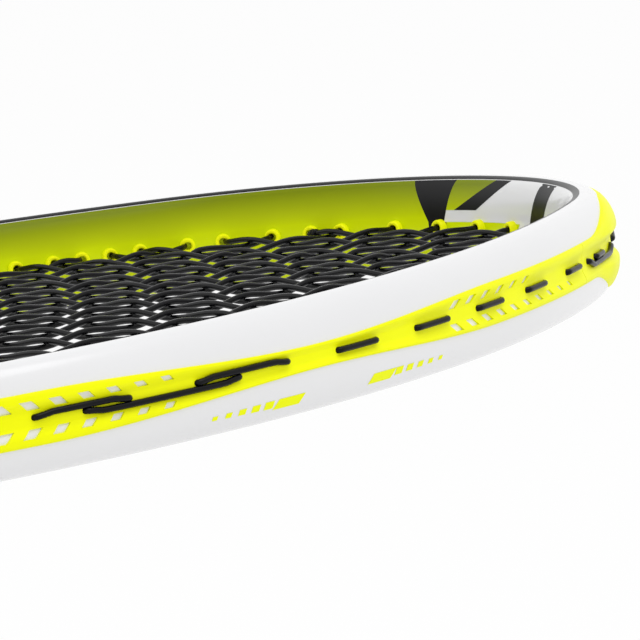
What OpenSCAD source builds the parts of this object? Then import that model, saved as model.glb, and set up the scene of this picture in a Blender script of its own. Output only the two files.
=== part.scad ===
// Squash racket: bonded carbon frame, yellow grommet strips, woven string bed and wrapped grip.
// The strings lie in the plane z = 0, +Y points from the butt to the tip, and the origin is the
// centre of the butt's end face.

/* [Overall] */
// Length of the racket from the butt to the tip
racket_l = 685; // [670:1:720]
// Outer width of the head
head_w = 214; // [200:1:222]
// Outer length of the head, without the bumper
head_l = 343; // [330:1:360]
// Radius of the tip's arc on the tube's centre line
tip_r = 74; // [70:0.5:78]

/* [Frame] */
// Width of the hoop's tube across the string plane
frame_w = 9; // [8.5:0.1:10]
// Depth of the hoop's tube, square to the strings
beam_h = 20; // [18:0.5:24]
// Wall of the carbon tubes
wall = 1.4; // [1:0.1:2]
// Exponent of the tube's rounded section
section_e = 2.6; // [2.2:0.1:3.2]
// Points round half of the section
section_n = 12; // [8:1:16]
// Width of the throat bridge
bridge_w = 8; // [7:0.1:8.5]
// Depth of the throat bridge
bridge_h = 15; // [12:0.5:17]
// Radius of the arms' bend into the shaft
arm_bend_r = 70; // [50:1:90]
// Gap between the arms where they reach the shaft
arm_gap = 1.5; // [1:0.1:3]
// Depth of the shaft
shaft_h = 18; // [16:0.5:20]

/* [Grommets] */
// Depth of the groove that the strip sits in
groove_d = 2.2; // [2:0.1:2.4]
// Half height of that groove
groove_z = 2.6; // [2.3:0.1:3]
// Thickness of the strips
strip_t = 0.7; // [0.5:0.1:0.9]
// Half height of the strip between its pads
strip_z = 3.3; // [3:0.1:3.6]
// Half height of the strip's windowed pads
pad_z = 5.4; // [5:0.1:6]
// Distance between the windows of a pad
window_pitch = 6; // [5:0.5:8]
// Length of a window along the strip
window_l = 3.2; // [2:0.1:4]
// Height of a window
window_h = 1.5; // [1:0.1:1.6]
// Outer radius of a grommet barrel
barrel_r = 1.7; // [1.5:0.05:1.8]
// Bore radius of a grommet barrel
bore_r = 0.95; // [0.85:0.05:1.1]
// How far the barrels stand into the head
barrel_out = 1.5; // [1:0.1:2.5]
// Thickness of the bumper at its two ridges
bumper_t = 1.9; // [1.4:0.1:2.4]
// Half height of the bumper
bumper_z = 8.6; // [7:0.1:9]

/* [Strings] */
// Side of the string's square stand-in section
string_s = 1.06; // [0.9:0.01:1.15]
// Gap between crossing strings
weave_gap = 0.14; // [0.08:0.01:0.3]

/* [Handle] */
// Length of the handle's foam shells
handle_l = 180; // [160:1:195]
// Width of the foam shells along the string plane
core_w = 27; // [25:0.5:29]
// Depth of the foam shells
core_h = 23.4; // [22.5:0.1:25]
// Thickness of the adhesive underlay
underlay_t = 0.3; // [0.2:0.1:0.5]
// Thickness of the grip
grip_t = 1.9; // [1.5:0.1:2.4]
// Length of the flared butt cap outside the grip
butt_l = 8; // [6:0.5:11]
// Length of the butt cap's skirt inside the grip
skirt_l = 12; // [10:0.5:16]
// Width of the butt cap's end
butt_w = 35; // [33.5:0.5:37]
// Depth of the butt cap's end
butt_h = 31; // [29.5:0.5:33]
// Length of the rubber collar
collar_l = 14; // [10:0.5:20]
// Thickness of the rubber collar
collar_t = 1.5; // [1:0.1:2.2]

/* [Hidden] */
$fn = 32;
seat = 0.1;          // clearance between nested pieces
eps = 0.01;
wing_root = 0.4;     // how deep a pad is rooted in the strip's flange
wing_step = 0.05;    // how much thinner it is on each face
drill_clear = 0.1;   // hoop hole round a barrel
drill_back = 3;      // how far a drill passes a wall
bridge_rim = 0.1;    // clearance of the throat strip's outer strings

// Plan of the head, about its centre
half_w = (head_w - frame_w) / 2;
half_l = (head_l - frame_w) / 2;
tip_cy = half_l - tip_r;
side_r = (half_w * half_w + tip_cy * tip_cy - tip_r * tip_r) / (2 * (half_w - tip_r));
side_cx = half_w - side_r;
phi = atan2(tip_cy, -side_cx);
head_cy = racket_l - head_l / 2 - bumper_t;

// Throat arms: straight on from the side arcs, then bent into the shaft
arm_x = (frame_w + arm_gap) / 2;
joint_x = side_cx + side_r * cos(phi);
joint_y = -side_r * sin(phi);
arm_l = (joint_x - arm_x - arm_bend_r * (1 - cos(phi))) / sin(phi);
crotch_y = joint_y - arm_l * cos(phi) - arm_bend_r * sin(phi);
shaft_w = 2 * frame_w + arm_gap;
shaft_foot = butt_l + 1;
shaft_top = head_cy + crotch_y;

// String layout: distances of the mains from the axis, heights of the crosses from the head's
// centre. The uneven steps keep each string clear of the others where it enters the tube.
main_x = [5.5, 16.5, 28, 40.5, 53, 65, 82];
cross_y = [-141, -124.5, -109.5, -99.5, -88.5, -73.5, -62.5, -52,
    -41.3, -31.6, -22.5, -8.5, 1, 12.5, 25, 35.5, 47, 57, 67, 76, 86, 94, 105, 112, 122.3, 127.6,
    141, 152];
// Long loops that lie side by side on the right: first and last cross of each, and its side
long_loops = [[8, 10, 1], [9, 12, -1], [11, 13, 1]];
main_n = len(main_x);
cross_n = len(cross_y);
bridge_mains = 3;    // mains on each side that the bridge holds
amp = (string_s + weave_gap) / 2;
loop_shift = string_s + 0.1;
cross_flat = 1.1;
mouth_in = frame_w / 2 + barrel_out;
rest_out = frame_w / 2 - groove_d + seat + strip_t + string_s / 2 + 0.05;
bridge_out = bridge_w / 2 + seat + strip_t + string_s / 2 + bridge_rim;
knot_r = 1.2;
knot_l = 1.8;
knot_off = 2.3;      // from the mouth, so that the knot clears a slanting barrel

// Windowed pads of the side strips, as heights on the head
pads = [[-78, -12], [61, 114]];

grip_w = core_w + 2 * (underlay_t + grip_t + 2 * seat);
grip_h = core_h + 2 * (underlay_t + grip_t + 2 * seat);
shell_foot = butt_l + skirt_l;
shell_top = shell_foot + handle_l;
tape_t = 0.4;
tape_l = 10;
badge_r = 9;
badge_t = 0.8;
staple_wire = 0.6;
staple_w = 9;
staple_leg = 2;
rubber_lap = 9;      // how far the collar covers the grip
run_past = 6;        // length of the arms' groove past the last hole
throat_strip_z = 3;  // half height of the throat strip
ridge_edge = 0.5;    // thickness of the bumper at its edges
ridge_rise = 0.3;    // share of the ridge's width over which it rises
ridge_dip = 0.35;    // how much lower it starts beside the groove
flare_share = 0.6;   // share of the butt's length before it narrows
flare_rim = 0.8;     // how far the butt stands proud of the grip
flare_l = butt_l * flare_share;
shell_gap = 0.05;    // half the gap between the two shells
staple_drop = 0.15;  // how deep the staples lie in the skirt's faces
staple_fit = 0.05;   // clearance of the staples' slots
tape_ahead = 2;      // how far the tape shows below the collar

function sgn_pow(v, p) = sign(v) * pow(abs(v), p);
// Rounded section, w wide along x and h high along y
function rounded(w, h, n = section_n) = [for (i = [0:2 * n - 1]) let (a = 180 * (i + 0.5) / n)
    [w / 2 * sgn_pow(cos(a), 2 / section_e), h / 2 * sgn_pow(sin(a), 2 / section_e)]];
// Half width of the hoop's section at height z
function edge_u(z) = frame_w / 2 * pow(1 - pow(abs(z) / (beam_h / 2), section_e), 1 / section_e);

// A string's hole: [mouth point, direction, length from the mouth to the string's outer bend,
// angle along the rim]. The angle is measured at the side arc's centre up to phi, then at the tip
// arc's, and undefined on the arms.
function side_hole(a) = [[side_cx + (side_r - mouth_in) * cos(a), (side_r - mouth_in) * sin(a)],
    [cos(a), sin(a)], mouth_in + rest_out, a];
function tip_hole(a) = [[(tip_r - mouth_in) * cos(a), tip_cy + (tip_r - mouth_in) * sin(a)],
    [cos(a), sin(a)], mouth_in + rest_out, a];
function bridge_hole(a) = [[(tip_r - mouth_in) * cos(a), -tip_cy - (tip_r - mouth_in) * sin(a)],
    [cos(a), -sin(a)], mouth_in + bridge_out, a];
function arm_hole(a) = [[(tip_r - mouth_in) * cos(a), -tip_cy - (tip_r - mouth_in) * sin(a)],
    [cos(phi), -sin(phi)], tip_r + rest_out - (tip_r - mouth_in) * cos(a - phi)];
mouth_x = (tip_r - mouth_in) * cos(phi);
mouth_y = (side_r - mouth_in) * sin(phi);
function main_angle(x) = x > mouth_x ? acos((x - side_cx) / (side_r - mouth_in))
    : acos(x / (tip_r - mouth_in));
function main_tip(i) = main_x[i] > mouth_x ? side_hole(main_angle(main_x[i]))
    : tip_hole(main_angle(main_x[i]));
function main_foot(i) = main_x[i] > mouth_x ? side_hole(-main_angle(main_x[i]))
    : i < bridge_mains ? bridge_hole(main_angle(main_x[i])) : arm_hole(main_angle(main_x[i]));
function cross_hole(k) = let (y = cross_y[k]) abs(y) <= mouth_y
    ? side_hole(asin(y / (side_r - mouth_in)))
    : y > 0 ? tip_hole(asin((y - tip_cy) / (tip_r - mouth_in)))
    : arm_hole(asin((-y - tip_cy) / (tip_r - mouth_in)));
function on_tip(y) = y > mouth_y;
function on_arm(y) = y < -mouth_y;
function outer(h) = h[0] + h[1] * h[2];
// Point of the outer strings' line round the rim, and round the bridge
function rim(a) = a <= phi ? [side_cx + (side_r + rest_out) * cos(a), (side_r + rest_out) * sin(a)]
    : [(tip_r + rest_out) * cos(a), tip_cy + (tip_r + rest_out) * sin(a)];
function under_bridge(a) = [(tip_r + bridge_out) * cos(a), -tip_cy - (tip_r + bridge_out) * sin(a)];
// Plan of a loop between two holes of the hoop or the arms
function rim_path(g, h) = g[3] == undef ? (h[3] == undef ? [outer(g), outer(h)]
        : concat([outer(g)], [for (t = [0:0.25:1]) rim(-phi + t * (h[3] + phi))]))
    : [for (t = [0:0.2:1]) rim(g[3] + t * (h[3] - g[3]))];
function bridge_path(g, h) = [for (t = [0:0.2:1]) under_bridge(g[3] + t * (h[3] - g[3]))];
function flip(p) = [-p[0], p[1]];

// How far the groove and its strip run on along the arms, past the last hole
pad_run_l = (tip_r - mouth_in) * sin(main_angle(main_x[bridge_mains]) - phi) + run_past;
// Angle at which the throat strip starts, before its first hole
throat_from = main_angle(main_x[bridge_mains - 1]) - 2;

module at_head() translate([0, head_cy, 0]) children();
module both_sides() { children(); mirror([1, 0, 0]) children(); }
module arc_of(cx, cy, r, from, to) translate([cx, cy, 0]) rotate([0, 0, from])
    rotate_extrude(angle = to - from, $fn = 128) translate([r, 0]) children();
module side_arc(from = -phi, to = phi) arc_of(side_cx, 0, side_r, from, to) children();
module tip_arc(from = phi, to = 180 - phi) arc_of(0, tip_cy, tip_r, from, to) children();
// Straight length of the right arm, between two distances from the hoop
module arm_run(to, from = 0) translate([joint_x, joint_y, 0]) rotate([0, 0, -phi])
    rotate([90, 0, 0]) translate([0, 0, from]) linear_extrude(to - from) children();
module arm_bend() arc_of(arm_x + arm_bend_r, crotch_y, arm_bend_r, 180 - phi, 180)
    rotate(180) children();

module tube_ring(w, h, t) difference() {
    polygon(rounded(w, h));
    polygon(rounded(w - 2 * t, h - 2 * t));
}
// Hoop tube: its wall follows the groove inwards
module grooved_ring() difference() {
    polygon(rounded(frame_w, beam_h));
    difference() {
        polygon(rounded(frame_w - 2 * wall, beam_h - 2 * wall));
        translate([frame_w / 2 - groove_d - wall, -groove_z - wall])
            square([frame_w, 2 * (groove_z + wall)]);
    }
    translate([frame_w / 2 - groove_d, -groove_z]) square([frame_w, 2 * groove_z]);
}
function backwards(list) = [for (i = [len(list) - 1:-1:0]) list[i]];
// Strip section: a channel floor in the groove with a narrow flange on each side
module strip_section() {
    floor_u = frame_w / 2 - groove_d + seat;
    gz = groove_z - seat;
    flange_u = edge_u(strip_z) + seat;
    half = [[floor_u, gz], [edge_u(gz) + seat, gz], [flange_u, strip_z],
        [flange_u + strip_t, strip_z], [edge_u(gz) + seat + strip_t, gz - strip_t],
        [floor_u + strip_t, gz - strip_t]];
    polygon(concat(half, [for (p = backwards(half)) [p[0], -p[1]]]));
}
// The pads carry the flange on, a little thinner, from a root inside it up to pad_z
module wing_section() for (s = [-1, 1]) {
    root = strip_z - wing_root;
    u = [for (i = [0:3]) let (z = root + (pad_z - root) * i / 3)
        [edge_u(z) + seat + wing_step, s * z]];
    polygon(concat(u, [for (p = backwards(u)) p + [strip_t - 2 * wing_step, 0]]));
}
// Bumper section: the same channel between two thick ridges that thin out to the edges
function ridge(z) = let (s = (abs(z) - groove_z) / (bumper_z - groove_z))
    ridge_edge + (bumper_t - ridge_edge) * (s < ridge_rise
        ? 1 - ridge_dip * pow(1 - s / ridge_rise, 2)
        : cos((s - ridge_rise) / (1 - ridge_rise) * 90));
module bumper_section() {
    floor_u = frame_w / 2 - groove_d + seat;
    gz = groove_z - seat;
    n = 7;
    polygon(concat(
        [for (i = [0:n]) let (z = -bumper_z + (bumper_z - gz) * i / n) [edge_u(z) + seat, z]],
        [[floor_u, -gz], [floor_u, gz]],
        [for (i = [0:n]) let (z = gz + (bumper_z - gz) * i / n) [edge_u(z) + seat, z]],
        [for (i = [n:-1:0]) let (z = groove_z + (bumper_z - groove_z) * i / n)
            [edge_u(z) + seat + ridge(z), z]],
        [[floor_u + strip_t, gz - strip_t], [floor_u + strip_t, strip_t - gz]],
        [for (i = [0:n]) let (z = -groove_z - (bumper_z - groove_z) * i / n)
            [edge_u(z) + seat + ridge(z), z]]));
}

// A round bar along a hole, from distance a to distance b from its mouth
module along(h, a, b, r) translate([h[0][0], h[0][1], 0])
    rotate([0, 0, atan2(h[1][1], h[1][0])]) rotate([0, 90, 0])
    translate([0, 0, a]) cylinder(r = r, h = b - a);
module drill(h) along(h, -drill_back, h[2] + drill_back, barrel_r + drill_clear);
module barrel(h) along(h, 0, h[2] - string_s / 2 - 0.1, barrel_r);
module bore(h) along(h, -1, h[2] + 1, bore_r);

module side_holes(kind) {
    for (k = [0:cross_n - 1]) if (abs(cross_y[k]) <= mouth_y) one_hole(kind, cross_hole(k));
    for (i = [0:main_n - 1]) if (main_x[i] > mouth_x) {
        one_hole(kind, main_tip(i));
        one_hole(kind, main_foot(i));
    }
}
module tip_holes(kind) both_sides() {
    for (k = [0:cross_n - 1]) if (on_tip(cross_y[k])) one_hole(kind, cross_hole(k));
    for (i = [0:main_n - 1]) if (main_x[i] <= mouth_x) one_hole(kind, main_tip(i));
}
module arm_holes(kind) {
    for (k = [0:cross_n - 1]) if (on_arm(cross_y[k])) one_hole(kind, cross_hole(k));
    for (i = [bridge_mains:main_n - 1]) if (main_x[i] <= mouth_x) one_hole(kind, main_foot(i));
}
module bridge_holes(kind) both_sides()
    for (i = [0:bridge_mains - 1]) one_hole(kind, main_foot(i));
module one_hole(kind, h) {
    if (kind == "drill") drill(h);
    if (kind == "barrel") barrel(h);
    if (kind == "bore") bore(h);
}

module frame_hoop() color("white") at_head() difference() {
    union() {
        tip_arc() grooved_ring();
        both_sides() side_arc() grooved_ring();
    }
    tip_holes("drill");
    both_sides() side_holes("drill");
}
module throat_arm() difference() {
    union() {
        arm_run(pad_run_l) grooved_ring();
        arm_run(arm_l + eps, pad_run_l - eps) tube_ring(frame_w, beam_h, wall);
        arm_bend() tube_ring(frame_w, beam_h, wall);
    }
    arm_holes("drill");
}
module throat_arm_right() color("white") at_head() throat_arm();
module throat_arm_left() color("white") at_head() mirror([1, 0, 0]) throat_arm();
module throat_bridge() color("white") at_head() difference() {
    mirror([0, 1, 0]) tip_arc(phi + 1, 179 - phi) polygon(rounded(bridge_w, bridge_h));
    both_sides() arm_run(arm_l) polygon(rounded(frame_w, beam_h));
    bridge_holes("drill");
    both_sides() arm_holes("drill");
}
module shaft_tube() color("white") translate([0, shaft_top, 0]) rotate([90, 0, 0])
    linear_extrude(shaft_top - shaft_foot) tube_ring(shaft_w, shaft_h, wall);

// Angle of a height on the side arc
function side_angle(y) = asin(y / side_r);
module pad_windows(pad) {
    step = window_pitch / side_r * 180 / PI;
    count = floor((side_angle(pad[1]) - side_angle(pad[0])) / step);
    for (j = [0:count - 1], s = [-1, 1]) translate([side_cx, 0, 0])
        rotate([0, 0, side_angle(pad[0]) + (j + 0.5) * step])
        translate([side_r, -window_l / 2, s * (pad_z + groove_z) / 2 - window_h / 2])
        cube([frame_w, window_l, window_h]);
}
module grommet_strip() difference() {
    union() {
        side_arc() strip_section();
        for (p = pads) side_arc(side_angle(p[0]), side_angle(p[1])) wing_section();
        arm_run(pad_run_l - 1) strip_section();
        side_holes("barrel");
        arm_holes("barrel");
    }
    side_holes("bore");
    arm_holes("bore");
    for (p = pads) pad_windows(p);
}
module grommet_strip_right() color("yellow") at_head() grommet_strip();
module grommet_strip_left() color("yellow") at_head() mirror([1, 0, 0]) grommet_strip();
module bumper_guard() color("yellow") at_head() difference() {
    union() {
        tip_arc() bumper_section();
        tip_holes("barrel");
    }
    tip_holes("bore");
}
module grommet_strip_throat() color("yellow") at_head() difference() {
    union() {
        mirror([0, 1, 0]) tip_arc(throat_from, 180 - throat_from) throat_section();
        bridge_holes("barrel");
    }
    bridge_holes("bore");
}
module throat_section() {
    z = throat_strip_z;
    u = bridge_w / 2 + seat;
    polygon([[u, -z], [u + strip_t, -z], [u + strip_t, z], [u, z]]);
}

// Flat bar between two plan points, centred at height z
module bar(p, q, z = 0) {
    d = q - p;
    translate([p[0], p[1], z]) rotate([0, 0, atan2(d[1], d[0])])
        translate([-string_s / 2, -string_s / 2, -string_s / 2])
        cube([norm(d) + string_s, string_s, string_s]);
}
module post(p, z) translate([p[0], p[1], min(0, z) - string_s / 2])
    cylinder(d = string_s, h = abs(z) + string_s);
// Loop outside the tube along a plan path between two holes
module loop(path, z = 0) {
    last = len(path) - 1;
    for (i = [0:last - 1]) bar(path[i], path[i + 1], z);
    if (z != 0) {
        post(path[0], z);
        post(path[last], z);
    }
}
// Woven string along x between two ends; at is the list of crossing places, up their heights
module woven(x0, x1, at, up) {
    line = concat([[x0 - string_s / 2, 0]],
        [for (j = [0:len(at) - 1], s = [-1, 1]) [at[j] + s * cross_flat, up[j]]],
        [[x1 + string_s / 2, 0]]);
    n = len(line);
    rotate([90, 0, 0]) translate([0, 0, -string_s / 2]) linear_extrude(string_s)
        polygon(concat([for (p = line) p - [0, string_s / 2]],
            [for (j = [n - 1:-1:0]) line[j] + [0, string_s / 2]]));
}
module knot(p, towards) translate([p[0], p[1], 0]) rotate([0, 0, towards]) rotate([0, 90, 0])
    cylinder(r = knot_r, h = knot_l);

// Sign of the weave where main i on side s meets cross k
function over(i, s, k) = ((s > 0 ? main_n + i : main_n - 1 - i) + k) % 2 == 0 ? 1 : -1;
module one_main(i, s) {
    reach = [for (k = [0:cross_n - 1]) if (cross_hole(k)[0][0] > main_x[i] + cross_flat) k];
    tip = main_tip(i);
    foot = main_foot(i);
    translate([s * main_x[i], 0, 0]) rotate([0, 0, 90]) woven(foot[0][1], tip[0][1],
        [for (k = reach) cross_y[k]], [for (k = reach) amp * over(i, s, k)]);
}
module main_half(s) {
    for (i = [0:main_n - 1]) one_main(i, s);
    mirror([s < 0 ? 1 : 0, 0, 0]) {
        for (i = [0:main_n - 1]) {
            bar(main_foot(i)[0], outer(main_foot(i)));
            if (i < main_n - 1) bar(main_tip(i)[0], outer(main_tip(i)));
        }
        for (i = [0:2:main_n - 3]) loop(rim_path(main_tip(i + 1), main_tip(i)),
            i == 0 ? 0 : -loop_shift);
        for (i = [1:2:main_n - 2])
            if (i < bridge_mains) loop(bridge_path(main_foot(i + 1), main_foot(i)));
            else loop(rim_path(main_foot(i), main_foot(i + 1)), -loop_shift);
        knot(main_tip(main_n - 1)[0] - [0, knot_l + knot_off], 90);
    }
}
module main_string() color([0.08, 0.08, 0.09]) at_head() {
    main_half(1);
    main_half(-1);
    middle = main_foot(0)[3];
    loop([for (t = [0:0.25:1]) under_bridge(middle + t * (180 - 2 * middle))]);
}
module one_cross(k) {
    near = [for (i = [0:main_n - 1]) if (main_x[i] + cross_flat < cross_hole(k)[0][0]) i];
    left = [for (j = [len(near) - 1:-1:0]) near[j]];
    h = cross_hole(k);
    translate([0, cross_y[k], 0]) woven(-h[0][0], h[0][0],
        concat([for (i = left) -main_x[i]], [for (i = near) main_x[i]]),
        concat([for (i = left) -amp * over(i, -1, k)], [for (i = near) -amp * over(i, 1, k)]));
    if (k > 0) bar(flip(h[0]), flip(outer(h)));
    if (k < cross_n - 1 || cross_n % 2 == 0) bar(h[0], outer(h));
}
// Whether a loop between two crosses passes over a main's hole, so that it has to lie higher
function covers(j, k) = len([for (i = [0:main_n - 1], y = [main_tip(i)[0][1], main_foot(i)[0][1]])
    if (y > cross_y[j] && y < cross_y[k] && !(i == main_n - 1 && y > 0)) y]) > 0;
module cross_loop(j, k) loop(rim_path(cross_hole(j), cross_hole(k)),
    covers(j, k) ? loop_shift : 0);
function long_cross(k) = len([for (l = long_loops) if (l[0] == k || l[1] == k) k]) > 0;
module cross_string() color([0.08, 0.08, 0.09]) at_head() {
    for (k = [0:cross_n - 1]) one_cross(k);
    // right side: neighbours in pairs, except for the three long loops
    for (k = [0:2:cross_n - 2]) if (!long_cross(k)) cross_loop(k, k + 1);
    for (l = long_loops)
        loop(rim_path(cross_hole(l[0]), cross_hole(l[1])), l[2] * loop_shift);
    // left side: neighbours in pairs, one step on
    mirror([1, 0, 0]) for (k = [1:2:cross_n - 3]) cross_loop(k, k + 1);
    knot(flip(cross_hole(0)[0]) + [knot_off, 0], 0);
    knot(flip(cross_hole(cross_n - 1)[0]) + [knot_off, 0], 0);
}

// Prism along y between two stations
module run_y(y0, y1) translate([0, y1, 0]) rotate([90, 0, 0]) linear_extrude(y1 - y0) children();
module handle_shell(s) difference() {
    run_y(shell_foot, shell_top) difference() {
        polygon(rounded(core_w, core_h));
        polygon(rounded(shaft_w + 2 * seat, shaft_h + 2 * seat));
    }
    translate([-core_w, shell_foot - 1, s > 0 ? -core_h : shell_gap])
        cube([2 * core_w, handle_l + 2, core_h + (s > 0 ? shell_gap : 0)]);
}
module handle_shell_upper() color([0.2, 0.2, 0.22]) handle_shell(1);
module handle_shell_lower() color([0.2, 0.2, 0.22]) handle_shell(-1);
module slab(w, h, y, t = 0.2) translate([0, y, 0]) run_y(0, t) polygon(rounded(w, h, 10));
// A staple through the skirt's face: a crown with two legs
module staple(clear = 0) {
    y = butt_l + skirt_l / 2;
    top = core_h / 2 - staple_drop;
    translate([-staple_w / 2 - clear, y - staple_wire / 2 - clear, top - staple_wire - clear])
        cube([staple_w + 2 * clear, staple_wire + 2 * clear, staple_wire + 2 * clear]);
    for (s = [-1, 1]) translate([s * (staple_w - staple_wire) / 2 - staple_wire / 2 - clear,
        y - staple_wire / 2 - clear, top - staple_leg - clear])
        cube([staple_wire + 2 * clear, staple_wire + 2 * clear, staple_leg + 2 * clear]);
}
module both_faces() { children(); mirror([0, 0, 1]) children(); }
module butt_cap() color([0.1, 0.1, 0.1]) difference() {
    union() {
        run_y(0, flare_l) polygon(rounded(butt_w, butt_h));
        hull() {
            slab(butt_w, butt_h, flare_l - 0.2);
            slab(grip_w + flare_rim, grip_h + flare_rim, butt_l - 0.2);
        }
        run_y(butt_l - eps, shell_foot) polygon(rounded(core_w, core_h));
    }
    run_y(shaft_foot - 0.5, shell_foot + 1) polygon(rounded(shaft_w + 2 * seat, shaft_h + 2 * seat));
    translate([0, badge_t + seat, 0]) rotate([90, 0, 0])
        cylinder(r = badge_r + seat, h = badge_t + seat + 1);
    both_faces() staple(staple_fit);
}
module butt_badge() color([0.12, 0.12, 0.12]) translate([0, badge_t, 0]) rotate([90, 0, 0])
    cylinder(r = badge_r, h = badge_t - 0.1);
module butt_staples() color("silver") both_faces() staple();
module sleeve(y0, y1, w, h, t) run_y(y0, y1) difference() {
    polygon(rounded(w + 2 * t, h + 2 * t));
    polygon(rounded(w, h));
}
module grip_underlay() color("ivory")
    sleeve(butt_l + 0.2, shell_top, core_w + 2 * seat, core_h + 2 * seat, underlay_t);
module grip_wrap() color([0.13, 0.13, 0.14])
    sleeve(butt_l + 0.1, shell_top + 1, core_w + 2 * (underlay_t + 2 * seat),
        core_h + 2 * (underlay_t + 2 * seat), grip_t);
module finishing_tape() color([0.15, 0.15, 0.15])
    sleeve(shell_top + 1 - rubber_lap - tape_ahead, shell_top + 1 - rubber_lap + tape_l,
        grip_w + 2 * seat, grip_h + 2 * seat, tape_t);
module rubber_collar() color([0.08, 0.08, 0.08])
    sleeve(shell_top + 1 - rubber_lap, shell_top + 1 - rubber_lap + collar_l,
        grip_w + 2 * (2 * seat + tape_t), grip_h + 2 * (2 * seat + tape_t), collar_t);

frame_hoop();
throat_arm_left();
throat_arm_right();
throat_bridge();
shaft_tube();
bumper_guard();
grommet_strip_left();
grommet_strip_right();
grommet_strip_throat();
main_string();
cross_string();
handle_shell_upper();
handle_shell_lower();
butt_cap();
butt_badge();
butt_staples();
grip_underlay();
grip_wrap();
finishing_tape();
rubber_collar();
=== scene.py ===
"""Looks of a strung squash racket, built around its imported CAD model.

Lengths are in millimetres until a mesh is made. Along the tube, s is the length of its centre line
from the middle of a side, growing to the tip and on down the other side. Across it, u points out
of the head and z up.
"""

import math

import bpy
import numpy as np
from mathutils import Matrix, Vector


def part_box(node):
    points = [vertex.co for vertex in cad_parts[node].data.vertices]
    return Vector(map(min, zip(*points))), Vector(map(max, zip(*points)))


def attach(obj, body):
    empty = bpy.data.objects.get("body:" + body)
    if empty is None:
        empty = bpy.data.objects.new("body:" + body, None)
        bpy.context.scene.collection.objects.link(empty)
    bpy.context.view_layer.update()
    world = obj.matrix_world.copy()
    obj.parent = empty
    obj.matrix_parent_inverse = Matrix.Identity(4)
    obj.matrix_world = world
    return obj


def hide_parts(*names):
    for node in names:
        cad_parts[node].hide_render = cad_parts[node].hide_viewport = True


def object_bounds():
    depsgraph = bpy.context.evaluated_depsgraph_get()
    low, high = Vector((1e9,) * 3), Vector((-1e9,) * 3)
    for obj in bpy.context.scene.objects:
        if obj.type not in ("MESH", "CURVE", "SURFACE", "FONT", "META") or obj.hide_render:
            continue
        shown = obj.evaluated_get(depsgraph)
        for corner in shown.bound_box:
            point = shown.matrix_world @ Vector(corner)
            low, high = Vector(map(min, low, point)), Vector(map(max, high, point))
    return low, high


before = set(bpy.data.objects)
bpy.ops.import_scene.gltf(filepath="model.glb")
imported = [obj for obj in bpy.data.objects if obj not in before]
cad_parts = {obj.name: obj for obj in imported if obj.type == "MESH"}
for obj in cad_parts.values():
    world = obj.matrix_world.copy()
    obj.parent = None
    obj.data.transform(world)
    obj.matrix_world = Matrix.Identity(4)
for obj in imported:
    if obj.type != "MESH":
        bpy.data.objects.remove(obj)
cad_low, cad_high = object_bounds()

MM = 0.001


def node_box(name):
    """Lowest and highest corner of a CAD node in millimetres."""
    low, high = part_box(name)
    return np.array(low) / MM, np.array(high) / MM


# --- Driving sizes -------------------------------------------------------------------------------
FRAME_W = 9.0
HEAD_L = 343.0
TIP_R = 74.0
ARM_BEND_R = 70.0
ARM_GAP = 1.5
SECTION_E = 2.6
BRIDGE_W = 8.0
BRIDGE_H = 15.0
MOUTH = 6.0
FLOOR_U = 4.25
STRING_D = 1.2
STRING_U = FLOOR_U + STRING_D / 2 - 0.2
BRIDGE_STRING_U = 5.42
LIP = 0.45
LOBE = 1.35
BUMPER_Z = 9.0
GRIP_PITCH = 25.0

hoop_low, hoop_high = node_box("frame_hoop")
shaft_low, shaft_high = node_box("shaft_tube")
BEAM_H = hoop_high[2] - hoop_low[2]
SHAFT_W = shaft_high[0] - shaft_low[0]
SHAFT_H = shaft_high[2] - shaft_low[2]

half_w = hoop_high[0] - FRAME_W / 2
half_l = (HEAD_L - FRAME_W) / 2
head_cy = hoop_high[1] - HEAD_L / 2
tip_cy = half_l - TIP_R
side_r = (half_w**2 + tip_cy**2 - TIP_R**2) / (2 * (half_w - TIP_R))
side_cx = half_w - side_r
phi = math.atan2(tip_cy, -side_cx)
side_len = side_r * phi
s_tip = side_len + TIP_R * (math.pi / 2 - phi)
arm_x = (FRAME_W + ARM_GAP) / 2
joint_x = side_cx + side_r * math.cos(phi)
joint_y = -side_r * math.sin(phi)
arm_l = (joint_x - arm_x - ARM_BEND_R * (1 - math.cos(phi))) / math.sin(phi)
crotch_y = joint_y - arm_l * math.cos(phi) - ARM_BEND_R * math.sin(phi)
s_foot = -side_len - arm_l - ARM_BEND_R * phi

# String layout: distances of the mains from the axis, heights of the crosses from the head's centre
MAIN_X = [5.5, 16.5, 28, 40.5, 53, 65, 82]
CROSS_Y = [
    -141, -124.5, -109.5, -99.5, -88.5, -73.5, -62.5, -52,
    -41.3, -31.6, -22.5, -8.5, 1, 12.5, 25, 35.5, 47, 57, 67, 76, 86, 94, 105, 112, 122.3, 127.6,
    141, 152,
]
# Long loops that lie side by side on the right: first and last cross, and the side they pass on
LONG_LOOPS = [(8, 10, 1), (9, 12, -1), (11, 13, 1)]
BRIDGE_MAINS = 3
AMP = STRING_D / 2
main_n = len(MAIN_X)
cross_n = len(CROSS_Y)


# --- Shapes --------------------------------------------------------------------------------------
def ease(t):
    """0 to 1 with a level start and end."""
    t = np.clip(t, 0.0, 1.0)
    return t * t * (3 - 2 * t)


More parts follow.
